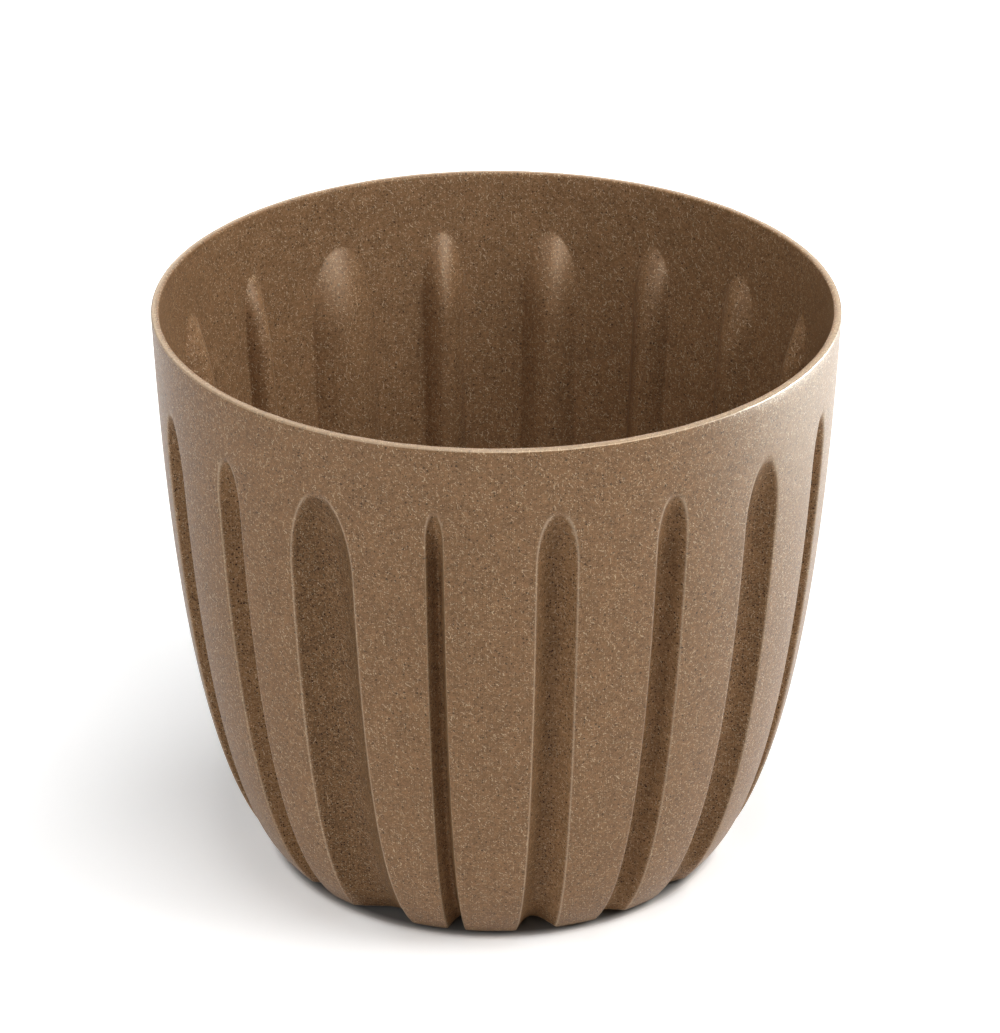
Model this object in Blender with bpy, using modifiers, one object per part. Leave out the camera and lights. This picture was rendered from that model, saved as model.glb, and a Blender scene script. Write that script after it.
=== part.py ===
"""Round flowerpot moulded in wood-fibre plastic, with flutes down its wall and push-in drain plugs.

The wall is one thin shell. Its outer face is a loft between a round rim and a fluted foot, and the
inner face follows it at an even thickness, so each flute shows as a ridge inside. The pot stands on
a low ring with gaps under its floor, which holds the wall's lower edge just clear of the ground. The
floor has drain holes, each closed by a plug that lifts out.

Heights are measured from the wall's lower edge, and every object is raised by the edge's clearance,
so that the ring stands at height 0. An azimuth is an angle round the vertical axis, 0 at the front
(-Y) and growing towards the right side (+X).
"""

from functools import lru_cache
from math import asin, atan, atan2, cos, pi, radians, sin, sqrt, tan

import bmesh
import bpy

# Pot: overall sizes, in metres
RIM_RADIUS = 0.125
HEIGHT = 0.215
WALL = 0.0029
EDGE_CLEARANCE = 0.002

# Wall line: a cubic curve that leaves the foot at a slant and reaches the rim nearly upright
FOOT_RADIUS = 0.084
FOOT_SLANT = radians(44)
FOOT_REACH = 0.033
RIM_SLANT = radians(2.05)
RIM_REACH = 0.127

# Flutes: widths of the six kinds, which repeat round the pot
FLUTE_WIDTHS = (0.0254, 0.0065, 0.0148, 0.0124, 0.0186, 0.0125)
FLUTE_SETS = 3
FIRST_FLUTE_AZIMUTH = radians(-30)
FLUTE_DEPTH = 0.007
PLAIN_BAND = 0.0245
RUNOUT = 0.034
ARCH = 0.0065
ARCH_PER_WIDTH = 1.05

# Foot: the flutes run out deep in one part of each set and shallow in the rest
DEEP_FOOT_DEPTH = 0.007
SHALLOW_FOOT_DEPTH = 0.0025
DEEP_FOOT_AZIMUTH = radians(-3)
DEEP_FOOT_SPREAD = radians(18)
DEEP_FOOT_FADE = radians(20)
FOOT_ZONE = 0.026

# Floor, standing ring and drain holes
FLOOR_HEIGHT = 0.007
FLOOR = 0.003
FLOOR_CROWN = 0.0025
RING_INSET = 0.0155
RING_WALL = 0.003
RING_GAPS = 3
RING_GAP = 0.014
FIRST_GAP_AZIMUTH = radians(60)
HOLE_COUNT = 3
HOLE_RADIUS = 0.007
HOLE_TO_RING = 0.0025
HOLE_TO_CROWN = 0.011
FIRST_HOLE_AZIMUTH = radians(60)

# Drain plugs
PLUG_GAP = 0.0003
PLUG_HEAD_RADIUS = 0.0105
PLUG_HEAD = 0.0022
PLUG_WALL = 0.0016
PLUG_BELOW_FLOOR = 0.0035
PLUG_TAPER = 0.0008
GRIP_RADIUS = 0.0026
GRIP_HEIGHT = 0.005

# Fineness of the meshes
FLUTE_STEPS = 6
LAND_STEPS = 2
PLUG_STEPS = 24
FLOOR_STEPS = 48
SPARE = 0.01

FLUTES = FLUTE_SETS * len(FLUTE_WIDTHS)
FLUTE_PITCH = 2 * pi / FLUTES
FLUTE_TOP = HEIGHT - PLAIN_BAND
RING_RADIUS = FOOT_RADIUS - RING_INSET
HOLE_CIRCLE = RING_RADIUS - RING_WALL - HOLE_TO_RING - HOLE_RADIUS
CROWN_RADIUS = HOLE_CIRCLE - HOLE_RADIUS - HOLE_TO_CROWN
NARROWEST = 0.3
NUDGE = 0.001
SMOOTH_UNDER = radians(30)


def clear_scene():
    for thing in list(bpy.data.objects):
        bpy.data.objects.remove(thing, do_unlink=True)


def new_collection(name):
    collection = bpy.data.collections.new(name)
    bpy.context.scene.collection.children.link(collection)
    return collection


def plastic(name, colour, roughness):
    material = bpy.data.materials.new(name)
    material.use_nodes = True
    shader = material.node_tree.nodes["Principled BSDF"]
    shader.inputs["Base Color"].default_value = (*colour, 1.0)
    shader.inputs["Roughness"].default_value = roughness
    shader.inputs["Metallic"].default_value = 0.0
    return material


def add_object(name, mesh, collection, material=None):
    thing = bpy.data.objects.new(name, mesh)
    thing.location.z = EDGE_CLEARANCE
    collection.objects.link(thing)
    if material:
        mesh.materials.append(material)
    return thing


def make_helper(thing):
    thing.hide_render = True
    thing.display_type = "WIRE"


def add_boolean(thing, other, operation):
    cut = thing.modifiers.new(other.name, "BOOLEAN")
    cut.operation = operation
    cut.solver = "EXACT"
    cut.object = other


def around(azimuth, radius, height):
    return (radius * sin(azimuth), -radius * cos(azimuth), height)


def between(low, high, share):
    return low + (high - low) * share


def eased(share):
    share = min(max(share, 0.0), 1.0)
    return share * share * (3 - 2 * share)


def wall_curve(step):
    """Radius, height and slant of the wall line at a step from 0 at the foot to 1 at the rim."""
    radii = (
        FOOT_RADIUS,
        FOOT_RADIUS + FOOT_REACH * sin(FOOT_SLANT),
        RIM_RADIUS - RIM_REACH * sin(RIM_SLANT),
        RIM_RADIUS,
    )
    heights = (0.0, FOOT_REACH * cos(FOOT_SLANT), HEIGHT - RIM_REACH * cos(RIM_SLANT), HEIGHT)
    rest = 1 - step
    weights = (rest**3, 3 * step * rest**2, 3 * step**2 * rest, step**3)
    slopes = (-3 * rest**2, 3 * rest**2 - 6 * step * rest, 6 * step * rest - 3 * step**2, 3 * step**2)
    radius = sum(w * r for w, r in zip(weights, radii))
    height = sum(w * h for w, h in zip(weights, heights))
    outward = sum(s * r for s, r in zip(slopes, radii))
    upward = sum(s * h for s, h in zip(slopes, heights))
    return radius, height, atan2(outward, upward)


@lru_cache(maxsize=None)
def wall_line(height):
    """Radius and slant of the plain wall at a height. It runs on straight past the foot and rim."""
    if height <= 0:
        radius, _, slant = wall_curve(0.0)
        return radius + height * tan(slant), slant
    if height >= HEIGHT:
        radius, _, slant = wall_curve(1.0)
        return radius + (height - HEIGHT) * tan(slant), slant
    low, high = 0.0, 1.0
    for _ in range(30):
        middle = (low + high) / 2
        if wall_curve(middle)[1] < height:
            low = middle
        else:
            high = middle
    radius, _, slant = wall_curve(low)
    return radius, slant


def foot_depth(azimuth):
    """Depth of a flute where it leaves the foot."""
    period = 2 * pi / FLUTE_SETS
    away = abs((azimuth - DEEP_FOOT_AZIMUTH + period / 2) % period - period / 2)
    share = eased((away - DEEP_FOOT_SPREAD) / DEEP_FOOT_FADE)
    return between(DEEP_FOOT_DEPTH, SHALLOW_FOOT_DEPTH, share)


def middle_depth(height):
    """Depth of a flute along its middle, away from the foot. It runs out in a curve near the rim."""
    below = min(max((FLUTE_TOP - height) / RUNOUT, 0.0), 1.0)
    return FLUTE_DEPTH * (1 - (1 - below) ** 2)


def half_mouth(flute, height):
    """Half the width of the flute's mouth, which ends in a tall arch. Above it the lines spread out."""
    width = FLUTE_WIDTHS[flute % len(FLUTE_WIDTHS)]
    if height >= FLUTE_TOP:
        share = between(NARROWEST, 1.0, min(1.0, (height - FLUTE_TOP) / PLAIN_BAND))
    else:
        below = (FLUTE_TOP - height) / (ARCH + ARCH_PER_WIDTH * width)
        share = max(NARROWEST, sqrt(1 - max(0.0, 1 - below) ** 2))
    return share * width / 2


def flute_section(flute, across, height):
    """Sideways distance and depth of a point of the flute, where across goes from -1 to 1."""
    sideways = across * half_mouth(flute, height)
    if height >= FLUTE_TOP:
        return sideways, 0.0
    radius, _ = wall_line(max(height, 0.0))
    middle = FIRST_FLUTE_AZIMUTH + flute * FLUTE_PITCH
    at_foot = foot_depth(middle + sideways / radius)
    depth = between(at_foot, middle_depth(height), eased(height / FOOT_ZONE))
    return sideways, depth * (1 - across**2)


def inset_section(flute, across, height, inset):
    """The same for a face that follows the flute at an even distance behind it."""
    sideways, depth = flute_section(flute, across, height)
    ahead_sideways, ahead_depth = flute_section(flute, across + NUDGE, height)
    behind_sideways, behind_depth = flute_section(flute, across - NUDGE, height)
    lean = atan((behind_depth - ahead_depth) / (ahead_sideways - behind_sideways))
    return sideways + inset * sin(lean), depth + inset * cos(lean)


def edge_of_inset(flute, side, height, inset):
    """How far across the flute the inset face meets the face behind the plain wall."""
    low, high = 0.0, 1.0
    for _ in range(16):
        middle = (low + high) / 2
        if inset_section(flute, side * middle, height, inset)[1] > inset:
            low = middle
        else:
            high = middle
    return low


def behind_wall(flute, across, height, inset):
    """Azimuth and depth of the line at this share of the way across the flute, for any inset."""
    if inset == 0 or across == 0 or height >= FLUTE_TOP:
        sideways, depth = flute_section(flute, across, height)
        depth += inset
    else:
        side = 1 if across > 0 else -1
        edge = edge_of_inset(flute, side, height, inset)
        sideways, depth = inset_section(flute, across * edge, height, inset)
    radius, _ = wall_line(max(height, 0.0))
    return FIRST_FLUTE_AZIMUTH + flute * FLUTE_PITCH + asin(sideways / radius), depth


def wall_columns():
    """The lines that run down the wall: a flute's number, how far across it, and the share of land."""
    columns = []
    for flute in range(FLUTES):
        for step in range(FLUTE_STEPS + 1):
            columns.append((flute, 2 * step / FLUTE_STEPS - 1, 0.0))
        for step in range(1, LAND_STEPS):
            columns.append((flute, 1.0, step / LAND_STEPS))
    return columns


def wall_point(column, height, inset):
    """A point of the outer face, or of a face that lies behind it by the inset."""
    flute, across, land = column
    azimuth, depth = behind_wall(flute, across, height, inset)
    if land:
        azimuth = between(azimuth, behind_wall(flute + 1, -1, height, inset)[0], land)
    radius, slant = wall_line(height)
    return around(azimuth, radius - depth * cos(slant), height + depth * sin(slant))


def level_point(column, level, inset):
    """The point of that inset face which lies at a given level."""
    height = level
    for _ in range(8):
        height += level - wall_point(column, height, inset)[2]
    return wall_point(column, height, inset)


def wall_rows():
    """Heights of the rows of points, from the rim down, close together where the wall turns."""
    below_top = (0.0, 0.0008, 0.003, 0.007, 0.013, 0.021, 0.032, 0.046)
    rows = [HEIGHT + WALL, between(FLUTE_TOP, HEIGHT, 0.5)]
    rows += [FLUTE_TOP - step for step in below_top]
    lowest_top = rows[-1]
    rows += [lowest_top * share for share in (0.74, 0.5, 0.33, 0.2, 0.12, 0.065, 0.025)]
    rows.append(-SPARE)
    return rows


def loft(name, rings, ends):
    """A closed mesh through rings of points, each joined to the next one down the outer side.

    With ends the first and last ring are filled, and without them they are joined to each other.
    """
    mesh = bpy.data.meshes.new(name)
    shape = bmesh.new()
    points = [[shape.verts.new(point) for point in ring] for ring in rings]
    lower_rings = points[1:] if ends else points[1:] + points[:1]
    for upper, lower in zip(points, lower_rings):
        for here in range(len(upper)):
            ahead = (here + 1) % len(upper)
            shape.faces.new((upper[here], lower[here], lower[ahead], upper[ahead]))
    if ends:
        shape.faces.new(points[0])
        shape.faces.new(reversed(points[-1]))
    shape.to_mesh(mesh)
    shape.free()
    return mesh


def turned(name, profile, steps, collection, material=None):
    """A turned solid from a profile of (radius, height) that starts and ends on the axis."""
    mesh = bpy.data.meshes.new(name)
    edges = [(i, i + 1) for i in range(len(profile) - 1)]
    mesh.from_pydata([(radius, 0.0, height) for radius, height in profile], edges, [])
    thing = add_object(name, mesh, collection, material)
    screw = thing.modifiers.new("turn", "SCREW")
    screw.steps = steps
    screw.render_steps = steps
    screw.use_merge_vertices = True
    screw.merge_threshold = 0.00001
    return thing


def round_bar(name, radius, low, high, steps, collection):
    mesh = bpy.data.meshes.new(name)
    shape = bmesh.new()
    bmesh.ops.create_cone(
        shape,
        cap_ends=True,
        segments=steps,
        radius1=radius,
        radius2=radius,
        depth=high - low,
    )
    bmesh.ops.translate(shape, vec=(0.0, 0.0, (low + high) / 2), verts=shape.verts)
    shape.to_mesh(mesh)
    shape.free()
    bar = add_object(name, mesh, collection)
    make_helper(bar)
    return bar


def make_standing_ring(helpers):
    """The low ring under the floor, cut through by straight gaps that let water and air pass."""
    top = FLOOR_HEIGHT + FLOOR / 2
    outside = round_bar("ring_outside", RING_RADIUS, -EDGE_CLEARANCE, top, FLOOR_STEPS, helpers)
    inner_radius = RING_RADIUS - RING_WALL
    inside = round_bar("ring_inside", inner_radius, -SPARE, top + SPARE, FLOOR_STEPS, helpers)
    add_boolean(outside, inside, "DIFFERENCE")
    for number in range(RING_GAPS):
        mesh = bpy.data.meshes.new("ring_gap")
        shape = bmesh.new()
        bmesh.ops.create_cube(shape, size=1.0)
        bmesh.ops.scale(shape, vec=(RING_GAP, RIM_RADIUS * 2, SPARE * 2), verts=shape.verts)
        drop = FLOOR_HEIGHT - SPARE - EDGE_CLEARANCE
        bmesh.ops.translate(shape, vec=(0.0, 0.0, drop), verts=shape.verts)
        shape.to_mesh(mesh)
        shape.free()
        gap = add_object(f"ring_gap_{number + 1}", mesh, helpers)
        gap.rotation_euler.z = FIRST_GAP_AZIMUTH + number * pi / RING_GAPS
        make_helper(gap)
        add_boolean(outside, gap, "DIFFERENCE")
    return outside


def hole_azimuth(number):
    return FIRST_HOLE_AZIMUTH + number * 2 * pi / HOLE_COUNT


def make_floor(helpers):
    """The crowned floor, cut to the wall's fluted outline so that its edge ends inside the wall."""
    under, over = FLOOR_HEIGHT, FLOOR_HEIGHT + FLOOR
    reach = RIM_RADIUS
    rise = [(0.0, 1.0), (0.5, 0.75), (1.0, 0.0)]
    top = [(CROWN_RADIUS * out, over + FLOOR_CROWN * up) for out, up in rise]
    bottom = [(CROWN_RADIUS * out, under + FLOOR_CROWN * up) for out, up in rise]
    profile = top + [(reach, over), (reach, under)] + bottom[::-1]
    floor = turned("floor_plate", profile, FLOOR_STEPS, helpers)
    make_helper(floor)
    columns = wall_columns()
    levels = (over + FLOOR_CROWN + SPARE / 2, over, under)
    rings = [[level_point(column, level, WALL / 2) for column in columns] for level in levels]
    lowest = [(x, y, under - SPARE / 4) for x, y, _ in rings[-1]]
    core = add_object("floor_outline", loft("floor_outline", rings + [lowest], True), helpers)
    make_helper(core)
    add_boolean(floor, core, "INTERSECT")
    return floor


def make_pot(parts, helpers, material):
    columns = wall_columns()
    rows = wall_rows()
    rings = [[wall_point(column, height, 0.0) for column in columns] for height in rows]
    rings += [[wall_point(column, height, WALL) for column in columns] for height in rows[::-1]]
    pot = add_object("pot_body", loft("pot_body", rings, False), parts, material)
    trim = round_bar("height_trim", RIM_RADIUS * 2, 0.0, HEIGHT, FLOOR_STEPS, helpers)
    add_boolean(pot, trim, "INTERSECT")
    add_boolean(pot, make_floor(helpers), "UNION")
    add_boolean(pot, make_standing_ring(helpers), "UNION")
    for number in range(HOLE_COUNT):
        low, high = FLOOR_HEIGHT - SPARE / 2, FLOOR_HEIGHT + FLOOR + SPARE / 2
        hole = round_bar(f"drain_hole_{number + 1}", HOLE_RADIUS, low, high, PLUG_STEPS, helpers)
        hole.location = around(hole_azimuth(number), HOLE_CIRCLE, EDGE_CLEARANCE)
        add_boolean(pot, hole, "DIFFERENCE")
    return pot


def plug_profile():
    """Outline of a plug from the top of its grip to the hollow under its head, seat at height 0."""
    stem = HOLE_RADIUS - PLUG_GAP
    low = -FLOOR - PLUG_BELOW_FLOOR
    profile = [(GRIP_RADIUS * sin(turn * pi / 8), 0.0) for turn in range(5)]
    profile = [
        (radius, PLUG_HEAD + GRIP_HEIGHT - GRIP_RADIUS + sqrt(max(0.0, GRIP_RADIUS**2 - radius**2)))
        for radius, _ in profile
    ]
    edge = PLUG_HEAD / 2
    profile.append((GRIP_RADIUS, PLUG_HEAD))
    profile += [
        (
            PLUG_HEAD_RADIUS - edge + edge * sin(turn * pi / 6),
            PLUG_HEAD - edge + edge * cos(turn * pi / 6),
        )
        for turn in range(4)
    ]
    profile += [(PLUG_HEAD_RADIUS, PLUG_GAP), (stem, PLUG_GAP)]
    profile += [(stem, -FLOOR), (stem - PLUG_TAPER, low)]
    profile += [(stem - PLUG_TAPER - PLUG_WALL, low), (stem - PLUG_WALL, PLUG_GAP), (0.0, PLUG_GAP)]
    return profile


def make_plugs(parts, material):
    for number in range(HOLE_COUNT):
        plug = turned(f"drain_plug_{number + 1}", plug_profile(), PLUG_STEPS, parts, material)
        seat = EDGE_CLEARANCE + FLOOR_HEIGHT + FLOOR
        plug.location = around(hole_azimuth(number), HOLE_CIRCLE, seat)


def apply_modifiers(thing):
    graph = bpy.context.evaluated_depsgraph_get()
    mesh = bpy.data.meshes.new_from_object(thing.evaluated_get(graph))
    thing.modifiers.clear()
    thing.data = mesh
    mesh.name = thing.name
    mesh.shade_smooth()
    mesh.set_sharp_from_angle(angle=SMOOTH_UNDER)


def main():
    clear_scene()
    parts = new_collection("fluted_flowerpot")
    helpers = new_collection("cutters")
    brown = plastic("wood_fibre_plastic", (0.168, 0.105, 0.060), 0.62)
    dark = plastic("plug_plastic", (0.090, 0.058, 0.036), 0.55)
    make_pot(parts, helpers, brown)
    make_plugs(parts, dark)
    for thing in parts.objects:
        apply_modifiers(thing)


main()
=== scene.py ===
from math import atan, cos, pi, radians, sin, tan

import bmesh
import bpy
import numpy as np
from mathutils import Matrix, Vector


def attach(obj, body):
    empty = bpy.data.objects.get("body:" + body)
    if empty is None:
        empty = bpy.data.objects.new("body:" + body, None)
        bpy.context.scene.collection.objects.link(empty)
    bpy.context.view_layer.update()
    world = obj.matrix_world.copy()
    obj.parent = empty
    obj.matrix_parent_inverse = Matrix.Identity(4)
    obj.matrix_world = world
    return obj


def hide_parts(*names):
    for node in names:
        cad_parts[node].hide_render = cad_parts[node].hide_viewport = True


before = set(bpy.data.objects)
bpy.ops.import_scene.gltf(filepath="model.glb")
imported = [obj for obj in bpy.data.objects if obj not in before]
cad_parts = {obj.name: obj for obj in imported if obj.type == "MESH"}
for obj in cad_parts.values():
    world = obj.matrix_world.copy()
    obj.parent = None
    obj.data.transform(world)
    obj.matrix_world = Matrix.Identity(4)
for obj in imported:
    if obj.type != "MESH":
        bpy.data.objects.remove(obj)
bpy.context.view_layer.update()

# The same sizes as the solids, in metres and radians
RIM_RADIUS = 0.125
HEIGHT = 0.215
WALL = 0.0029
FOOT_RADIUS = 0.084
FOOT_SLANT = radians(44)
FOOT_REACH = 0.033
RIM_SLANT = radians(2.05)
RIM_REACH = 0.127
FLUTE_WIDTHS = np.array((0.0254, 0.0065, 0.0148, 0.0124, 0.0186, 0.0125))
FLUTES = 18
FLUTE_PITCH = 2 * pi / FLUTES
FIRST_FLUTE_AZIMUTH = radians(-30)
FLUTE_DEPTH = 0.007
FLUTE_TOP = HEIGHT - 0.0245
RUNOUT = 0.034
ARCH = 0.0065
ARCH_PER_WIDTH = 1.05
DEEP_FOOT_DEPTH = 0.007
SHALLOW_FOOT_DEPTH = 0.0025
DEEP_FOOT_AZIMUTH = radians(-3)
DEEP_FOOT_SPREAD = radians(18)
DEEP_FOOT_FADE = radians(20)
FOOT_ZONE = 0.026
EDGE_CLEARANCE = 0.002
FLOOR_UNDER = 0.007
FLOOR = 0.003
FLOOR_OVER = FLOOR_UNDER + FLOOR
RING_RADIUS = 0.0685
RING_WALL = 0.003
RING_GAP = 0.014
GAP_TOP = FLOOR_UNDER - 0.002
FLOOR_CROWN = 0.0025
CROWN_RADIUS = 0.038
FLOOR_RINGS = 26
FLOOR_BORDER = 0.010
SHARE_INSIDE_BORDER = 0.8
HOLE_RADIUS = 0.007
HOLE_CIRCLE = 0.056
HOLE_STEPS = 64
CUT_PAST = 0.003
RING_STEPS = 144
HOLE_AZIMUTHS = [radians(60 + 120 * number) for number in range(3)]

# Sizes of a drain plug, whose heights count from the top of the floor
PLUG_CLEARANCE = 0.0003
PLUG_WALL = 0.0016
PLUG_TAPER = 0.0008
PLUG_REACH = 0.0035
HEAD_RADIUS = 0.0105
HEAD_HEIGHT = 0.0022
GRIP_RADIUS = 0.0026
GRIP_HEIGHT = 0.005
GRIP_TAPER = 0.0004
GRIP_ROUNDING = 0.0012
NECK_HEIGHT = 0.0016
NECK_FILLET = 0.0011
HEAD_ROUNDING = 0.0011
HEAD_UNDERCUT = 0.0007
STEM_CHAMFER = (0.0005, 0.0004)
TIP_ROUNDING = 0.0004
TIP_CHAMFER = 0.0003
BORE_CHAMFER = (0.0006, 0.0005)
PLUG_STEPS = 72

# Roundings that the solids leave out
EDGE_RADIUS = 0.0007
RIM_EDGE = 0.0007
FOOT_EDGE = 0.0006
INNER_SOFTNESS = 0.00012
FLOOR_FILLET = 0.003
HOLE_EDGE = 0.0006
RING_EDGE = 0.0005
GAP_EDGE = 0.0008
EDGE_TURNS = np.radians((0, 22, 45, 68, 90))
# Where a rounding in two steps has its middle corner, as a share of its size
BEND = 0.3

# How finely the wall line is followed, and how far it runs on straight
LINE_STEPS = 1500
LINE_PAST = 0.03
# Least distance below a flute's top, and least depth, that its curves are worked out for
LEAST_BELOW = 0.0002
LEAST_DEPTH = 0.001
# Rounds in which a ring's points settle on its height, and the share moved in each
SETTLING_ROUNDS = 30
SETTLING_SHARE = 0.7

# Spans of heights with the step between their rings, which is small where the flutes begin
WALL_SPANS = (
    (HEIGHT - RIM_EDGE, FLUTE_TOP + 0.0015, 0.004),
    (FLUTE_TOP + 0.0015, 0.181, 0.0004),
    (0.181, 0.155, 0.0011),
    (0.155, 0.03, 0.004),
    (0.03, FOOT_EDGE, 0.001),
)
INNER_SPANS = (
    (HEIGHT + 0.002, 0.197, 0.002),
    (0.197, 0.176, 0.0004),
    (0.176, 0.15, 0.001),
    (0.15, 0.03, 0.003),
    (0.03, -0.014, 0.001),
)
# Half the width of the band of close lines along a flute's edge, and where they lie in it
EDGE_BAND = 0.0012
EDGE_STEPS = np.array((-1, -0.7, -0.45, -0.28, -0.14, 0, 0.14, 0.28, 0.45, 0.7, 1))
WIDER_INSIDE = 0.0018
LARGEST_BAND = 0.4
LEAST_MOUTH = 0.3
MIDDLE_LINES = 9
LAND_LINES = 6

# The face behind the flutes is rounded by looking this far round from each of its points
BEHIND_TURNS = np.radians(np.arange(-80, 81, 10))
BEHIND_TILTS = np.radians(np.arange(-60, 61, 15))

# Depths in a flute between which its plastic gets a painted shade, and how strong that is by the
# flute's width
SHADE_FROM = 0.00025
SHADE_TO = 0.0013
NARROW_FLUTE = 0.010
WIDE_FLUTE = 0.026
NARROW_SHADE = 0.1
EDGE_FADE = 0.004

# Colours of the plastic, as linear red, green, blue and alpha
BASE = (0.216, 0.119, 0.0575, 1.0)
PALE = (0.66, 0.52, 0.34, 1.0)
DARK = (0.030, 0.017, 0.011, 1.0)
PLUG_SHADE = 0.55
DARKEST_GROUND = 0.45
PALEST_GROUND = 1.55

# Layers of flecks: shift in mm, cells per mm, size in cells, and the share of cells with a fleck
LONG_FIBRES = ((0.0, 0.0, 0.0), 0.42, (0.36, 0.065), 0.7)
SHORT_FIBRES = ((31.7, 5.3, 12.9), 0.8, (0.30, 0.11), 0.6)
PALE_DUST = ((3.1, 17.3, 8.7), 1.4, 0.36, 0.34)
LARGE_SPECKS = ((9.4, 2.2, 21.5), 0.7, 0.32, 0.36)
SMALL_SPECKS = ((14.9, 8.1, 1.5), 1.4, 0.36, 0.45)
# The last layer lies only in the flutes, as painted shade there
SHADE_SPECKS_IN_FLUTES = ((5.5, 30.2, 11.8), 1.0, 0.40, 0.45)
FIBRE_SWERVE = 1.6
FLATTENING = 0.85
FIBRE_CORE = 0.45
SPECK_EDGE = (0.03, -0.05)
SPECK_GAIN = 1.5

# Noises: scale per mm, detail and roughness, and the range of their values that is used
SWERVE_NOISE = (0.55, 1.0, 0.5)
CLOUD_NOISE = (0.11, 2.0, 0.5)
MOTTLE_NOISE = (0.75, 3.0, 0.6)
GRAIN_NOISE = (2.4, 1.0, 0.5)
NOISE_RANGE = (0.3, 0.7)

# How strongly each layer shows in the colour
MOTTLE = 0.16
GRAIN = 0.17
CLOUDS = 0.05
PAINTED_FLUTE_SHADE = 0.26
FIBRE_STRENGTH = 0.7
DUST_STRENGTH = 0.65
SPECK_STRENGTH = 0.76
PAINTED_EDGE_HIGHLIGHT = 0.26
PALE_LOST_TO_FLUTE_SHADE = 0.4

# Gloss and relief of the plastic
SPECULAR = 0.13
SPECULAR_LOST_IN_FLUTES = 0.75
EDGE_SPECULAR = 0.25
ROUGH_RANGE = (0.2, 0.8)
ROUGHNESS = (0.33, 0.43)
FIBRE_SMOOTHNESS = 0.06
EDGE_SMOOTHNESS = 0.08
BUMP_STRENGTH = 0.35
BUMP_DISTANCE = 0.00012
MOTTLE_RELIEF = 0.8
FIBRE_RELIEF = 0.5
SPECK_RELIEF = 0.4

# The floor glows a little to the camera, from the pot's foot outward, and fully far away, and
# under the foot it has a painted shadow
GROUND_REACH = 6.0
GROUND_DROP = 0.0001
PALE_GREY = (0.80, 0.80, 0.80, 1.0)
PAINTED_SHADOW_GREY = (0.2, 0.2, 0.2, 1.0)
WHITE = (1.0, 1.0, 1.0, 1.0)
FLOOR_GLOW = 0.36
GLOW_STARTS = (0.083, 0.088)
FULL_GLOW = (0.25, 0.55)
PAINTED_SHADOW_EDGE = (0.080, 0.086)

# Lamps stand on a sphere round the middle of the pot
LAMP_DISTANCE = 1.1
LAMP_TARGET = Vector((0.0, 0.0, 0.11))
LAMP_SIZE = (0.5, 0.6)
WARM = (1.0, 0.85, 0.66)
WORLD_STRENGTH = 0.03

# The camera, measured in the photo of 1000 by 1033 pixels
CAMERA_ELEVATION = radians(23.96)
CAMERA_DISTANCE = 14.0 * RIM_RADIUS
FOCAL_PX = 4824.6
PHOTO_HEIGHT_PX = 1033
PHOTO_MIDDLE_PX = (500.0, 516.5)
AXIS_COLUMN_PX = 496.3
RIM_ROW_PX = 301.8
SENSOR_MM = 36

SMALL = 1e-9


def between(low, high, share):
    return low + (high - low) * share


def eased(share):
    share = np.clip(share, 0.0, 1.0)
    return share * share * (3 - 2 * share)


def make_wall_table():
    """Heights, radii and slants along the wall line, a cubic curve with straight ends."""
    step = np.linspace(0, 1, LINE_STEPS)
    rest = 1 - step
    radii = (
        FOOT_RADIUS,
        FOOT_RADIUS + FOOT_REACH * sin(FOOT_SLANT),
        RIM_RADIUS - RIM_REACH * sin(RIM_SLANT),
        RIM_RADIUS,
    )
    heights = (
        0.0,
        FOOT_REACH * cos(FOOT_SLANT),
        HEIGHT - RIM_REACH * cos(RIM_SLANT),
        HEIGHT,
    )
    weights = (rest**3, 3 * step * rest**2, 3 * step**2 * rest, step**3)
    slopes = (
        -3 * rest**2,
        3 * rest**2 - 6 * step * rest,
        6 * step * rest - 3 * step**2,
        3 * step**2,
    )
    radius = sum(weight * end for weight, end in zip(weights, radii))
    height = sum(weight * end for weight, end in zip(weights, heights))
    outward = sum(slope * end for slope, end in zip(slopes, radii))
    upward = sum(slope * end for slope, end in zip(slopes, heights))
    slant = np.arctan2(outward, upward)
    below = radius[0] - LINE_PAST * tan(slant[0])
    above = radius[-1] + LINE_PAST * tan(slant[-1])
    height = np.concatenate(([-LINE_PAST], height, [HEIGHT + LINE_PAST]))
    radius = np.concatenate(([below], radius, [above]))
    slant = np.concatenate(([slant[0]], slant, [slant[-1]]))
    return height, radius, slant


LINE_HEIGHT, LINE_RADIUS, LINE_SLANT = make_wall_table()


def wall_radius(height):
    return np.interp(height, LINE_HEIGHT, LINE_RADIUS)


def wall_slant(height):
    return np.interp(height, LINE_HEIGHT, LINE_SLANT)


def foot_depth(azimuth):
    away = np.abs((azimuth - DEEP_FOOT_AZIMUTH + pi / 3) % (2 * pi / 3) - pi / 3)
    share = eased((away - DEEP_FOOT_SPREAD) / DEEP_FOOT_FADE)
    return between(DEEP_FOOT_DEPTH, SHALLOW_FOOT_DEPTH, share)


def mouth(width, below):
    """Half the width of a flute's mouth at a distance below its top."""
    share = np.clip(below / (ARCH + ARCH_PER_WIDTH * width), 0.0, 1.0)
    return width / 2 * np.sqrt(1 - (1 - share) ** 2)


def nearest_flute(azimuth):
    """Number and width of the flute nearest to an azimuth."""
    number = np.round((azimuth - FIRST_FLUTE_AZIMUTH) / FLUTE_PITCH).astype(int)
    return number, FLUTE_WIDTHS[number % len(FLUTE_WIDTHS)]


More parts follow.
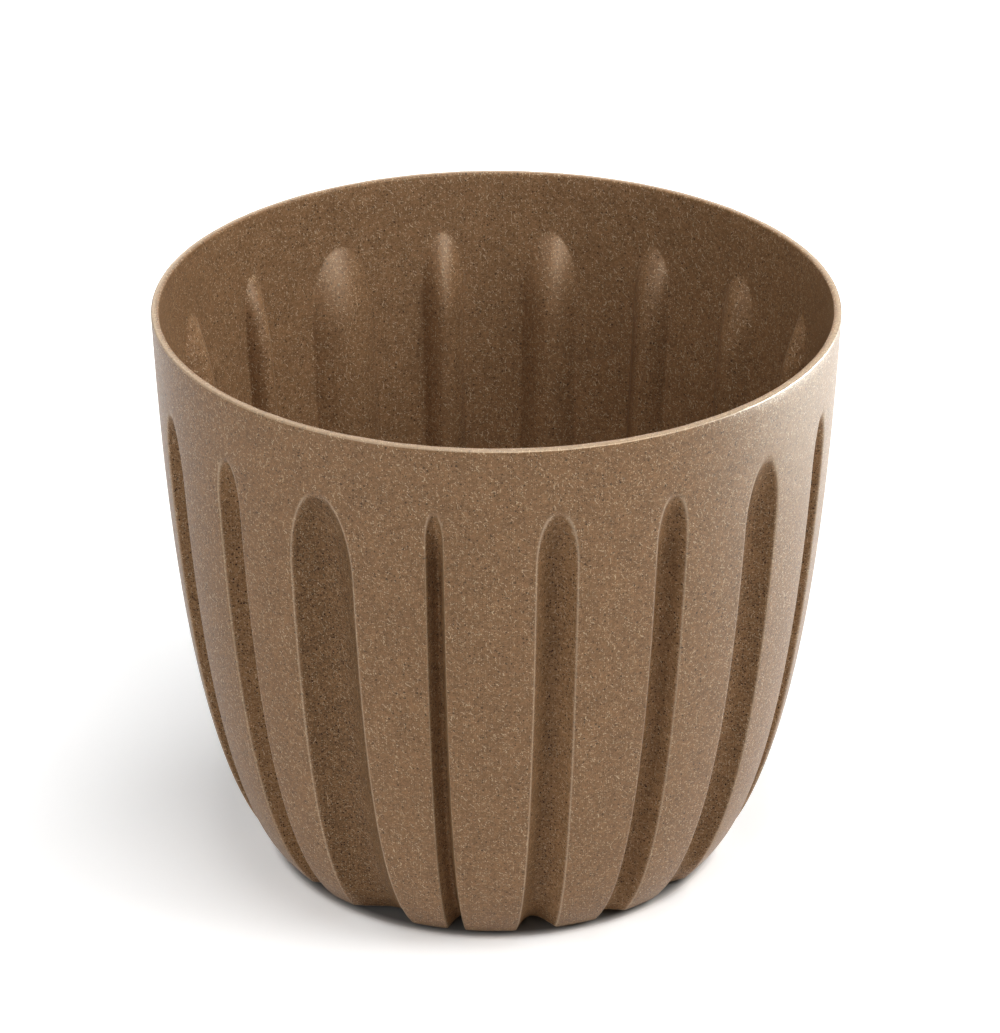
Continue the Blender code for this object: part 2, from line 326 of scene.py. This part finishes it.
def flute_shape(azimuth, height):
    """Depth of the flutes, below zero outside them, and how softly to round their edges."""
    number, width = nearest_flute(azimuth)
    centre = FIRST_FLUTE_AZIMUTH + number * FLUTE_PITCH
    sideways = wall_radius(np.maximum(height, 0.0)) * np.sin(azimuth - centre)
    below = FLUTE_TOP - height
    inside = np.maximum(below, LEAST_BELOW)
    run = FLUTE_DEPTH * (1 - (1 - np.minimum(inside / RUNOUT, 1.0)) ** 2)
    curving = run / mouth(width, inside) ** 2
    middle = np.where(below > 0, run, 2 * FLUTE_DEPTH * below / RUNOUT)
    on_wall = middle - curving * sideways**2
    at_foot = foot_depth(azimuth) * (1 - (2 * sideways / width) ** 2)
    from_foot = eased(height / FOOT_ZONE)
    depth = between(at_foot, on_wall, from_foot)
    full_depth = between(foot_depth(azimuth), FLUTE_DEPTH, from_foot)
    steepness = 4 * np.maximum(full_depth, LEAST_DEPTH) / width
    soft = EDGE_RADIUS * steepness**2 / (2 * (1 + steepness**2 / 4) ** 1.5)
    return depth, soft


def flute_depth(azimuth, height):
    """Depth of the flutes below the plain wall, with rounded edges."""
    depth, soft = flute_shape(azimuth, height)
    return (depth + np.sqrt(depth**2 + soft**2)) / 2


def flute_depth_behind(azimuth, height, inset):
    """Depth of the face that follows the flutes at an even distance, softly rounded."""
    total = 0.0
    flat = 0.0
    radius = wall_radius(np.maximum(height, 0.0))
    for turn in BEHIND_TURNS:
        for tilt in BEHIND_TILTS:
            across = inset * sin(turn)
            along = inset * cos(turn) * sin(tilt)
            out = inset * cos(turn) * cos(tilt)
            share = cos(turn)
            there = flute_depth(azimuth + across / radius, height + along)
            total = total + share * np.exp((there + out - inset) / INNER_SOFTNESS)
            flat += share * np.exp((out - inset) / INNER_SOFTNESS)
    return inset + INNER_SOFTNESS * np.log(total / flat)


def column_azimuths(height, extra):
    """Azimuths of the lines that run down the wall, close together along the flutes' edges."""
    below = max(FLUTE_TOP - height, 0.0)
    spread = max(0.0, height - FLUTE_TOP) / (HEIGHT - FLUTE_TOP)
    radius = float(wall_radius(max(height, 0.0)))
    halves = []
    for width in FLUTE_WIDTHS:
        half = max(float(mouth(width, below)), LEAST_MOUTH * width / 2)
        halves.append(between(half, width / 2, spread) + extra)
    bands = [min(EDGE_BAND + extra, LARGEST_BAND * half) for half in halves]
    azimuths = []
    for flute in range(FLUTES):
        half, band = halves[flute % len(halves)], bands[flute % len(halves)]
        edge = half + band * EDGE_STEPS
        middle = np.linspace(-half + band, half - band, MIDDLE_LINES + 2)[1:-1]
        sideways = np.concatenate((-edge[::-1], middle, edge))
        centre = FIRST_FLUTE_AZIMUTH + flute * FLUTE_PITCH
        lines = centre + np.arcsin(sideways / radius)
        following = (flute + 1) % len(halves)
        next_edge = halves[following] + bands[following]
        next_line = centre + FLUTE_PITCH - np.arcsin(next_edge / radius)
        land = np.linspace(lines[-1], next_line, LAND_LINES + 2)[1:-1]
        azimuths.append(np.concatenate((lines, land)))
    return np.concatenate(azimuths)


def spots(spans):
    """Numbers from top to bottom through spans of (start, end, step)."""
    return np.concatenate([np.arange(start, end, -step) for start, end, step in spans])


def outer_rings(levels):
    """Azimuths and radii on the outer face, and the shares of its flutes and their edges."""
    level = levels[:, None]
    azimuth = np.array([column_azimuths(height, 0.0) for height in levels])
    height = level + 0 * azimuth
    for _ in range(SETTLING_ROUNDS):
        rise = flute_depth(azimuth, height) * np.sin(wall_slant(height))
        height = height + SETTLING_SHARE * (level - height - rise)
    depth = flute_depth(azimuth, height)
    radius = wall_radius(height) - depth * np.cos(wall_slant(height))
    in_flute = eased((depth - SHADE_FROM) / (SHADE_TO - SHADE_FROM))
    sharp_depth, soft = flute_shape(azimuth, height)
    # Share of the flutes' rounded edges, which get a painted highlight and more gloss
    on_edge = np.exp(-((sharp_depth / soft) ** 2))
    on_edge = on_edge * np.clip((FLUTE_TOP - height) / EDGE_FADE, 0.0, 1.0)
    return azimuth, radius, in_flute, on_edge


def inner_rings(levels, inset):
    """Azimuths and radii on the face that lies behind the outer one by the inset."""
    heights = spots(INNER_SPANS)
    azimuth = np.array([column_azimuths(height, WIDER_INSIDE) for height in heights])
    height = heights[:, None] + 0 * azimuth
    depth = flute_depth_behind(azimuth, height, inset)
    slant = wall_slant(height)
    z = height + depth * np.sin(slant)
    radius = wall_radius(height) - depth * np.cos(slant)
    rings = np.empty((2, len(levels), azimuth.shape[1]))
    for column in range(azimuth.shape[1]):
        upward = z[::-1, column]
        rings[0, :, column] = np.interp(levels, upward, azimuth[::-1, column])
        rings[1, :, column] = np.interp(levels, upward, radius[::-1, column])
    return rings


def placed(azimuth, radius, level):
    """Points from azimuth, radius and height above the wall's lower edge."""
    height = level + EDGE_CLEARANCE + 0 * radius
    return np.stack((radius * np.sin(azimuth), -radius * np.cos(azimuth), height), -1)


def mesh_of_rings(name, rings, ends):
    """A closed mesh through rings of points that run down the outer side."""
    count, size = len(rings), len(rings[0])
    here = np.arange(size)
    ahead = (here + 1) % size
    faces = []
    for upper in range(count - 1 if ends else count):
        top, bottom = upper * size, (upper + 1) % count * size
        faces.append(np.stack((top + here, bottom + here, bottom + ahead, top + ahead), -1))
    faces = np.concatenate(faces).tolist()
    if ends:
        faces.append(list(range(size)))
        faces.append(list(range((count - 1) * size, count * size))[::-1])
    mesh = bpy.data.meshes.new(name)
    mesh.from_pydata(np.concatenate(rings).tolist(), [], faces)
    mesh.shade_smooth()
    return mesh


def add(name, mesh):
    thing = bpy.data.objects.new(name, mesh)
    bpy.context.scene.collection.objects.link(thing)
    return thing


def floor_fillet(levels):
    """How far the inner face reaches inward just above the floor."""
    above = levels - FLOOR_OVER
    away = np.clip(FLOOR_FILLET - above, 0.0, FLOOR_FILLET)
    inward = FLOOR_FILLET - np.sqrt(FLOOR_FILLET**2 - away**2)
    return np.where(above >= -SMALL, inward, 0.0)


def moved_towards(points, others, distance):
    way = others - points
    return points + way / np.linalg.norm(way, axis=-1, keepdims=True) * distance


def make_wall():
    top_levels = HEIGHT - RIM_EDGE * (1 - np.sin(EDGE_TURNS))
    foot_levels = FOOT_EDGE * (1 - np.sin(EDGE_TURNS))
    levels = np.concatenate((top_levels[::-1], spots(WALL_SPANS)[1:], foot_levels))
    out_azimuth, out_radius, in_flute, on_edge = outer_rings(levels)
    in_azimuth, in_radius = inner_rings(levels, WALL)
    in_radius = in_radius - floor_fillet(levels)[:, None]
    outer = placed(out_azimuth, out_radius, levels[:, None])
    inner = placed(in_azimuth, in_radius, levels[:, None])

    steps = len(EDGE_TURNS)
    first = len(levels) - steps
    for step, turn in enumerate(EDGE_TURNS):
        for index, size in ((steps - 1 - step, RIM_EDGE), (first + step, FOOT_EDGE)):
            distance = size * (1 - cos(turn))
            here, there = outer[index].copy(), inner[index].copy()
            outer[index] = moved_towards(here, there, distance)
            inner[index] = moved_towards(there, here, distance)
    mesh = mesh_of_rings("pot_wall", list(outer) + list(inner[::-1]), False)

    # Painted shade in the flutes: darker with depth, and more in wide flutes
    _, width = nearest_flute(out_azimuth)
    wide = eased((width - NARROW_FLUTE) / (WIDE_FLUTE - NARROW_FLUTE))
    painted_flute_shade = in_flute * between(NARROW_SHADE, 1.0, wide)
    # The rim's and foot's roundings count as edges too, for the painted highlight and the gloss
    on_edge[:steps - 1] = 1.0
    on_edge[1 - steps:] = 1.0
    shares = (("in_flute", in_flute), ("painted_flute_shade", painted_flute_shade), ("on_edge", on_edge))
    for name, share in shares:
        values = mesh.attributes.new(name, "FLOAT", "POINT")
        both_faces = np.concatenate((share.ravel(), np.zeros(share.size)))
        values.data.foreach_set("value", both_faces.astype(np.float32))
    return add("pot_wall", mesh)


def floor_ring(azimuth, radius, level, share):
    """A ring of the crowned floor at a share of its reach, close to the next at the wall."""
    border = radius - FLOOR_BORDER
    past = (share - SHARE_INSIDE_BORDER) / (1 - SHARE_INSIDE_BORDER)
    if past > 0:
        reach = between(border, radius, past)
    else:
        reach = share / SHARE_INSIDE_BORDER * border
    crown = FLOOR_CROWN * eased(1 - reach / CROWN_RADIUS)
    return placed(azimuth, reach, level + crown)


def make_floor():
    azimuth, radius = inner_rings(np.array([FLOOR_OVER, FLOOR_UNDER]), WALL / 2)
    shares = np.linspace(0.0005, 0.9995, FLOOR_RINGS)
    rings = [floor_ring(azimuth[0], radius[0], FLOOR_OVER, share) for share in shares]
    rings += [floor_ring(azimuth[1], radius[1], FLOOR_UNDER, share) for share in shares[::-1]]
    floor = add("pot_floor", mesh_of_rings("pot_floor", rings, True))

    wide, bend = HOLE_RADIUS + HOLE_EDGE, BEND * HOLE_EDGE
    low, high = FLOOR_UNDER - CUT_PAST, FLOOR_OVER + CUT_PAST
    profile = [
        (0, high),
        (wide, high),
        (wide, FLOOR_OVER),
        (HOLE_RADIUS + bend, FLOOR_OVER - bend),
        (HOLE_RADIUS, FLOOR_OVER - HOLE_EDGE),
        (HOLE_RADIUS, FLOOR_UNDER + HOLE_EDGE),
        (HOLE_RADIUS + bend, FLOOR_UNDER + bend),
        (wide, FLOOR_UNDER),
        (wide, low),
        (0, low),
    ]
    for number, hole_azimuth in enumerate(HOLE_AZIMUTHS):
        cutter = turned(f"hole_cutter_{number + 1}", profile, HOLE_STEPS)
        cutter.location = placed(np.array(hole_azimuth), np.array(HOLE_CIRCLE), 0.0)
        add_boolean(floor, cutter, "DIFFERENCE")
    add_boolean(floor, make_standing_ring(), "UNION")
    return floor


def add_boolean(thing, other, operation):
    other.hide_render = True
    other.hide_viewport = True
    cut = thing.modifiers.new(other.name, "BOOLEAN")
    cut.operation = operation
    cut.solver = "EXACT"
    cut.object = other


def make_standing_ring():
    """The low ring under the floor, cut through by straight gaps."""
    top = EDGE_CLEARANCE + FLOOR_UNDER + FLOOR / 2
    inner = RING_RADIUS - RING_WALL
    bend = BEND * RING_EDGE
    section = [
        (inner, top),
        (RING_RADIUS, top),
        (RING_RADIUS, RING_EDGE),
        (RING_RADIUS - bend, bend),
        (RING_RADIUS - RING_EDGE, 0.0),
        (inner + RING_EDGE, 0.0),
        (inner + bend, bend),
        (inner, RING_EDGE),
    ]
    turns = np.linspace(0, 2 * pi, RING_STEPS, endpoint=False)
    rings = [
        placed(turns, radius + 0 * turns, height - EDGE_CLEARANCE) for radius, height in section
    ]
    ring = add("standing_ring", mesh_of_rings("standing_ring", rings, False))
    tall = 0.02
    for number in range(3):
        mesh = bpy.data.meshes.new("ring_gap")
        shape = bmesh.new()
        bmesh.ops.create_cube(shape, size=1.0)
        bmesh.ops.scale(shape, vec=(RING_GAP, RIM_RADIUS * 2, tall), verts=shape.verts)
        bmesh.ops.bevel(
            shape,
            geom=list(shape.edges),
            offset=GAP_EDGE,
            segments=3,
            profile=0.5,
            affect="EDGES",
        )
        shape.to_mesh(mesh)
        shape.free()
        gap = add(f"ring_gap_{number + 1}", mesh)
        gap.location.z = GAP_TOP + EDGE_CLEARANCE - tall / 2
        gap.rotation_euler.z = radians(60 * (number + 1))
        add_boolean(ring, gap, "DIFFERENCE")
    return ring


def turned(name, profile, steps):
    """A turned solid from a profile of (radius, height) that starts and ends on the axis."""
    mesh = bpy.data.meshes.new(name)
    shape = bmesh.new()
    turns = [2 * pi * step / steps for step in range(steps)]
    rings = []
    for radius, height in profile[1:-1]:
        ring = [(radius * cos(turn), radius * sin(turn), height) for turn in turns]
        rings.append([shape.verts.new(point) for point in ring])
    top = shape.verts.new((0, 0, profile[0][1]))
    bottom = shape.verts.new((0, 0, profile[-1][1]))
    for here in range(steps):
        ahead = (here + 1) % steps
        shape.faces.new((top, rings[0][here], rings[0][ahead]))
        shape.faces.new((bottom, rings[-1][ahead], rings[-1][here]))
        for upper, lower in zip(rings, rings[1:]):
            shape.faces.new((upper[here], lower[here], lower[ahead], upper[ahead]))
    shape.to_mesh(mesh)
    shape.free()
    mesh.shade_smooth()
    mesh.set_sharp_from_angle(angle=radians(50))
    return add(name, mesh)


def arc(centre, radius, first, last, steps):
    """Points of an arc of (radius, height), with angles in degrees above the outward way."""
    turns = np.radians(np.linspace(first, last, steps))
    return [(centre[0] + radius * cos(turn), centre[1] + radius * sin(turn)) for turn in turns]


def make_plug(number):
    seat = PLUG_CLEARANCE
    stem = HOLE_RADIUS - PLUG_CLEARANCE
    tip = stem - PLUG_TAPER
    low = -FLOOR - PLUG_REACH
    top = HEAD_HEIGHT + GRIP_HEIGHT
    neck = GRIP_RADIUS - GRIP_TAPER
    grip_centre = (GRIP_RADIUS - GRIP_ROUNDING, top - GRIP_ROUNDING)
    neck_centre = (neck + NECK_FILLET, HEAD_HEIGHT + NECK_FILLET)
    head_centre = (HEAD_RADIUS - HEAD_ROUNDING, HEAD_HEIGHT - HEAD_ROUNDING)
    tip_centre = (tip - TIP_ROUNDING, low + TIP_ROUNDING)
    profile = [(0.0, top)]
    profile += arc(grip_centre, GRIP_ROUNDING, 90, 0, 7)
    profile += [(neck, HEAD_HEIGHT + NECK_HEIGHT)]
    profile += arc(neck_centre, NECK_FILLET, 180, 270, 7)
    profile += arc(head_centre, HEAD_ROUNDING, 90, -60, 9)
    profile += [(HEAD_RADIUS - HEAD_UNDERCUT, seat), (stem + STEM_CHAMFER[0], seat)]
    profile += [(stem, seat - STEM_CHAMFER[1]), (stem, -FLOOR)]
    profile += arc(tip_centre, TIP_ROUNDING, 0, -90, 4)
    profile += [(tip - PLUG_WALL + TIP_CHAMFER, low), (tip - PLUG_WALL, low + TIP_CHAMFER)]
    profile += [(stem - PLUG_WALL, seat - BORE_CHAMFER[1])]
    profile += [(stem - PLUG_WALL - BORE_CHAMFER[0], seat), (0.0, seat)]
    plug = turned(f"drain_plug_look_{number + 1}", profile, PLUG_STEPS)
    place = placed(np.array(HOLE_AZIMUTHS[number]), np.array(HOLE_CIRCLE), FLOOR_OVER)
    plug.data.transform(Matrix.Translation(place))
    return plug


class Nodes:
    """Builds the nodes of one material."""

    def __init__(self, material):
        material.use_nodes = True
        self.tree = material.node_tree
        self.shader = self.tree.nodes["Principled BSDF"]

    def link(self, source, target):
        if isinstance(source, (int, float, tuple)):
            target.default_value = source
        else:
            self.tree.links.new(source, target)

    def math(self, operation, first, second=0.0, third=0.0, clamp=False):
        node = self.tree.nodes.new("ShaderNodeMath")
        node.operation = operation
        node.use_clamp = clamp
        for source, target in zip((first, second, third), node.inputs):
            self.link(source, target)
        return node.outputs[0]

    def times(self, first, second):
        return self.math("MULTIPLY", first, second)

    def plus(self, first, second):
        return self.math("ADD", first, second)

    def minus(self, first, second):
        return self.math("SUBTRACT", first, second)

    def vector(self, operation, first, second=None, scale=None):
        node = self.tree.nodes.new("ShaderNodeVectorMath")
        node.operation = operation
        self.link(first, node.inputs[0])
        if second is not None:
            self.link(second, node.inputs[1])
        if scale is not None:
            self.link(scale, node.inputs["Scale"])
        return node.outputs["Value" if operation in ("DOT_PRODUCT", "LENGTH") else "Vector"]

    def place(self, kind):
        return self.tree.nodes.new("ShaderNodeTexCoord").outputs[kind]

    def span(self, value, low, high, new_low=0.0, new_high=1.0):
        """The value carried over from one range to another, softly at its ends."""
        node = self.tree.nodes.new("ShaderNodeMapRange")
        node.interpolation_type = "SMOOTHSTEP"
        names = ("Value", "From Min", "From Max", "To Min", "To Max")
        for name, source in zip(names, (value, low, high, new_low, new_high)):
            self.link(source, node.inputs[name])
        return node.outputs["Result"]

    def share(self, name):
        """A share that is kept with the mesh."""
        node = self.tree.nodes.new("ShaderNodeAttribute")
        node.attribute_name = name
        return node.outputs["Fac"]

    def noise(self, where, scale, detail, rough, output="Fac"):
        node = self.tree.nodes.new("ShaderNodeTexNoise")
        self.link(where, node.inputs["Vector"])
        node.inputs["Scale"].default_value = scale
        node.inputs["Detail"].default_value = detail
        node.inputs["Roughness"].default_value = rough
        return node.outputs[output]

    def cells(self, where, scale):
        """Middle of the nearest cell, and its random values as one colour and apart."""
        node = self.tree.nodes.new("ShaderNodeTexVoronoi")
        node.feature = "F1"
        self.link(where, node.inputs["Vector"])
        node.inputs["Scale"].default_value = scale
        split = self.tree.nodes.new("ShaderNodeSeparateColor")
        self.link(node.outputs["Color"], split.inputs[0])
        return node.outputs["Position"], node.outputs["Color"], split.outputs

    def mix(self, share, first, second):
        node = self.tree.nodes.new("ShaderNodeMix")
        node.data_type = "RGBA"
        self.link(share, node.inputs["Factor"])
        self.link(first, node.inputs[6])
        self.link(second, node.inputs[7])
        return node.outputs[2]


def fleck_offset(nodes, where, scale, normal):
    """Offset from the nearest fleck's middle along the surface, in cells, and its values."""
    position, colour, values = nodes.cells(where, scale)
    offset = nodes.vector("SCALE", nodes.vector("SUBTRACT", where, position), scale=scale)
    off = nodes.vector("DOT_PRODUCT", offset, normal)
    rise = nodes.vector("SCALE", normal, scale=nodes.times(off, FLATTENING))
    return nodes.vector("SUBTRACT", offset, rise), colour, values


def fibres(nodes, where, normal, layer):
    """Mask of short strokes, each lying in its own direction along the surface."""
    shift, scale, (length, width), kept = layer
    where = nodes.vector("ADD", where, shift)
    flat, colour, values = fleck_offset(nodes, where, scale, normal)
    way = nodes.vector("SUBTRACT", colour, (0.5, 0.5, 0.5))
    off = nodes.vector("DOT_PRODUCT", way, normal)
    way = nodes.vector("SUBTRACT", way, nodes.vector("SCALE", normal, scale=off))
    way = nodes.vector("NORMALIZE", way)
    along = nodes.vector("DOT_PRODUCT", flat, way)
    along = nodes.math("MINIMUM", nodes.math("MAXIMUM", along, -length), length)
    rest = nodes.vector("SUBTRACT", flat, nodes.vector("SCALE", way, scale=along))
    mask = nodes.span(nodes.vector("LENGTH", rest), width, FIBRE_CORE * width)
    chosen = nodes.math("LESS_THAN", values[0], kept)
    return nodes.times(mask, nodes.times(chosen, values[2]))


def specks(nodes, where, normal, layer):
    """Mask of small spots of varied size."""
    shift, scale, size, kept = layer
    where = nodes.vector("ADD", where, shift)
    flat, _, values = fleck_offset(nodes, where, scale, normal)
    reach = nodes.times(values[1], size)
    mask = nodes.span(nodes.minus(nodes.vector("LENGTH", flat), reach), *SPECK_EDGE)
    strength = nodes.math("MULTIPLY", values[2], SPECK_GAIN, clamp=True)
    chosen = nodes.times(nodes.math("LESS_THAN", values[0], kept), strength)
    return nodes.times(mask, chosen)


def scaled(colour, share):
    return tuple(share * part for part in colour[:3]) + (1.0,)


def fibre_plastic(name, base, seed):
    """Plastic of a base colour with pale fibres, pale dust and dark specks in it."""
    material = bpy.data.materials.new(name)
    nodes = Nodes(material)
    normal = nodes.place("Normal")
    millimetres = nodes.vector("SCALE", nodes.place("Object"), scale=1000.0)
    where = nodes.vector("ADD", millimetres, (seed, 0.7 * seed, 0.4 * seed))
    swerve = nodes.noise(where, *SWERVE_NOISE, output="Color")
    swerve = nodes.vector("SUBTRACT", swerve, (0.5, 0.5, 0.5))
    bent = nodes.vector("ADD", where, nodes.vector("SCALE", swerve, scale=FIBRE_SWERVE))

    long_fibres = fibres(nodes, bent, normal, LONG_FIBRES)
    pale_fibres = nodes.math("MAXIMUM", long_fibres, fibres(nodes, bent, normal, SHORT_FIBRES))
    pale_dust = specks(nodes, where, normal, PALE_DUST)
    large_specks = specks(nodes, where, normal, LARGE_SPECKS)
    dark_specks = nodes.math("MAXIMUM", large_specks, specks(nodes, where, normal, SMALL_SPECKS))
    # Dark specks that lie only in the flutes are painted shade
    shade_specks_in_flutes = specks(nodes, where, normal, SHADE_SPECKS_IN_FLUTES)
    clouds = nodes.noise(where, *CLOUD_NOISE)
    mottle = nodes.noise(where, *MOTTLE_NOISE)
    grain = nodes.noise(where, *GRAIN_NOISE)
    in_flute, painted_flute_shade, on_edge = map(nodes.share, ("in_flute", "painted_flute_shade", "on_edge"))

    shade = 0.5
    for noise, strength in ((mottle, MOTTLE), (grain, GRAIN), (clouds, CLOUDS)):
        shade = nodes.plus(shade, nodes.span(noise, *NOISE_RANGE, -strength, strength))
    # Painted shade darkens the colour inside the flutes
    shade = nodes.math("SUBTRACT", shade, nodes.times(painted_flute_shade, PAINTED_FLUTE_SHADE), clamp=True)
    ground = nodes.mix(shade, scaled(base, DARKEST_GROUND), scaled(base, PALEST_GROUND))
    # Fewer pale flecks in the flutes, as painted shade
    pale_left = nodes.math("MULTIPLY_ADD", in_flute, -PALE_LOST_TO_FLUTE_SHADE, 1.0)
    dust = nodes.times(nodes.times(pale_dust, DUST_STRENGTH), pale_left)
    wall_specks = nodes.times(dark_specks, SPECK_STRENGTH)
    all_specks = nodes.math("MAXIMUM", wall_specks, nodes.times(shade_specks_in_flutes, in_flute))
    strokes = nodes.times(nodes.times(pale_fibres, FIBRE_STRENGTH), pale_left)
    coloured = nodes.mix(dust, ground, PALE)
    coloured = nodes.mix(all_specks, coloured, DARK)
    coloured = nodes.mix(strokes, coloured, PALE)
    # Painted highlight: a pale line along the rounded edges
    coloured = nodes.mix(nodes.times(on_edge, PAINTED_EDGE_HIGHLIGHT), coloured, PALE)
    nodes.link(coloured, nodes.shader.inputs["Base Color"])

    gloss_left = nodes.math("MULTIPLY_ADD", in_flute, -SPECULAR_LOST_IN_FLUTES, 1.0)
    specular = nodes.plus(nodes.times(gloss_left, SPECULAR), nodes.times(on_edge, EDGE_SPECULAR))
    nodes.link(specular, nodes.shader.inputs["Specular IOR Level"])
    rough = nodes.span(mottle, *ROUGH_RANGE, *ROUGHNESS)
    rough = nodes.minus(rough, nodes.times(pale_fibres, FIBRE_SMOOTHNESS))
    rough = nodes.minus(rough, nodes.times(on_edge, EDGE_SMOOTHNESS))
    nodes.link(rough, nodes.shader.inputs["Roughness"])
    bump = nodes.tree.nodes.new("ShaderNodeBump")
    bump.inputs["Strength"].default_value = BUMP_STRENGTH
    bump.inputs["Distance"].default_value = BUMP_DISTANCE
    height = nodes.times(mottle, MOTTLE_RELIEF)
    height = nodes.plus(height, nodes.times(pale_fibres, FIBRE_RELIEF))
    height = nodes.minus(height, nodes.times(dark_specks, SPECK_RELIEF))
    nodes.link(height, bump.inputs["Height"])
    nodes.link(bump.outputs["Normal"], nodes.shader.inputs["Normal"])
    return material


def dress(thing, material, body, node):
    thing.data.materials.append(material)
    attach(thing, body)
    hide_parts(node)


def seen_directly(tree):
    """Is 1 for what the camera sees, also in a mirror or through glass."""
    path = tree.nodes.new("ShaderNodeLightPath")
    total = path.outputs["Is Camera Ray"]
    for kind in ("Is Glossy Ray", "Is Transmission Ray"):
        either = tree.nodes.new("ShaderNodeMath")
        either.operation = "MAXIMUM"
        tree.links.new(total, either.inputs[0])
        tree.links.new(path.outputs[kind], either.inputs[1])
        total = either.outputs[0]
    return total


def show_directly(tree, plain, seen, output):
    """Uses one shader for what is seen directly, and the plain one for the rest of the light."""
    mix = tree.nodes.new("ShaderNodeMixShader")
    tree.links.new(seen_directly(tree), mix.inputs[0])
    tree.links.new(plain.outputs[0], mix.inputs[1])
    tree.links.new(seen.outputs[0], mix.inputs[2])
    tree.links.new(mix.outputs[0], tree.nodes[output].inputs["Surface"])


def make_ground():
    """The pale floor. The camera sees it as white, and it keeps the pot's shadow, with a painted
    shadow of dark grey under the pot's foot.
    """
    mesh = bpy.data.meshes.new("ground")
    corners = ((-1, -1), (1, -1), (1, 1), (-1, 1))
    corners = [(GROUND_REACH * x, GROUND_REACH * y, 0) for x, y in corners]
    mesh.from_pydata(corners, [], [(0, 1, 2, 3)])
    ground = add("ground", mesh)
    ground.location.z = -GROUND_DROP
    material = bpy.data.materials.new("pale_floor")
    nodes = Nodes(material)
    tree = nodes.tree
    nodes.shader.inputs["Base Color"].default_value = PALE_GREY
    nodes.shader.inputs["Roughness"].default_value = 0.9
    white = tree.nodes.new("ShaderNodeBsdfDiffuse")
    glow = tree.nodes.new("ShaderNodeEmission")
    flat = nodes.vector("MULTIPLY", nodes.place("Object"), (1.0, 1.0, 0.0))
    away = nodes.vector("LENGTH", flat)
    near = nodes.span(away, *GLOW_STARTS, 0.0, FLOOR_GLOW)
    far = nodes.span(away, *FULL_GLOW, 0.0, 1.0 - FLOOR_GLOW)
    nodes.link(nodes.plus(near, far), glow.inputs["Strength"])
    # Painted shadow: the floor is dark grey under the pot's foot
    past_painted_shadow = nodes.span(away, *PAINTED_SHADOW_EDGE)
    colour = nodes.mix(past_painted_shadow, PAINTED_SHADOW_GREY, WHITE)
    nodes.link(colour, white.inputs["Color"])
    seen = tree.nodes.new("ShaderNodeAddShader")
    tree.links.new(white.outputs[0], seen.inputs[0])
    tree.links.new(glow.outputs[0], seen.inputs[1])
    show_directly(tree, nodes.shader, seen, "Material Output")
    mesh.materials.append(material)


def area_light(name, azimuth, elevation, size, power, colour=(1.0, 1.0, 1.0), gloss_only=False):
    data = bpy.data.lights.new(name, "AREA")
    data.shape = "RECTANGLE"
    data.size, data.size_y = size
    data.energy = power
    data.color = colour
    light = add(name, data)
    a, e = radians(azimuth), radians(elevation)
    way = Vector((sin(a) * cos(e), -cos(a) * cos(e), sin(e)))
    light.location = LAMP_TARGET + way * LAMP_DISTANCE
    light.rotation_euler = (-way).to_track_quat("-Z", "Y").to_euler()
    light.visible_camera = False
    light.visible_diffuse = not gloss_only


def make_camera():
    data = bpy.data.cameras.new("camera")
    camera = add("camera", data)
    aside = (PHOTO_MIDDLE_PX[0] - AXIS_COLUMN_PX) * CAMERA_DISTANCE / FOCAL_PX
    behind = CAMERA_DISTANCE * cos(CAMERA_ELEVATION)
    above = HEIGHT + EDGE_CLEARANCE + CAMERA_DISTANCE * sin(CAMERA_ELEVATION)
    camera.location = (aside, -behind, above)
    pitch = CAMERA_ELEVATION + atan((PHOTO_MIDDLE_PX[1] - RIM_ROW_PX) / FOCAL_PX)
    camera.rotation_euler = (radians(90) - pitch, 0, 0)
    data.sensor_fit = "AUTO"
    data.sensor_width = SENSOR_MM
    data.lens = FOCAL_PX * SENSOR_MM / PHOTO_HEIGHT_PX
    bpy.context.scene.camera = camera


def make_world():
    world = bpy.data.worlds.new("studio")
    bpy.context.scene.world = world
    world.use_nodes = True
    tree = world.node_tree
    plain = tree.nodes["Background"]
    seen = tree.nodes.new("ShaderNodeBackground")
    for background, strength in ((plain, WORLD_STRENGTH), (seen, 1.0)):
        background.inputs["Color"].default_value = WHITE
        background.inputs["Strength"].default_value = strength
    show_directly(tree, plain, seen, "World Output")


pot_plastic = fibre_plastic("fibre_plastic", BASE, 0.0)
plug_plastic = fibre_plastic("plug_fibre_plastic", scaled(BASE, PLUG_SHADE), 40.0)
for piece in (make_wall(), make_floor()):
    dress(piece, pot_plastic, "pot", "pot_body")
for plug_number in range(3):
    plug_name = f"plug_{plug_number + 1}"
    dress(make_plug(plug_number), plug_plastic, plug_name, f"drain_{plug_name}")

make_ground()
area_light("key", 70, 35, LAMP_SIZE, 7.0)
area_light("back_right", 128, 35, LAMP_SIZE, 3.2)
area_light("left", -46, 8, LAMP_SIZE, 3.7)
area_light("front", -24, 35, (0.6, 0.6), 1.3)
area_light("top", 0, 80, LAMP_SIZE, 8.4)
area_light("right_sheen", 104, -2, (0.7, 0.14), 120, colour=(1.0, 1.0, 0.9), gloss_only=True)
area_light("rim_sheen", 180, 24, (0.9, 0.4), 4, colour=WARM, gloss_only=True)
area_light("front_sheen", 28, 26, (1.1, 0.4), 34, colour=WARM, gloss_only=True)
make_world()
make_camera()
bpy.context.scene.view_settings.view_transform = "Standard"
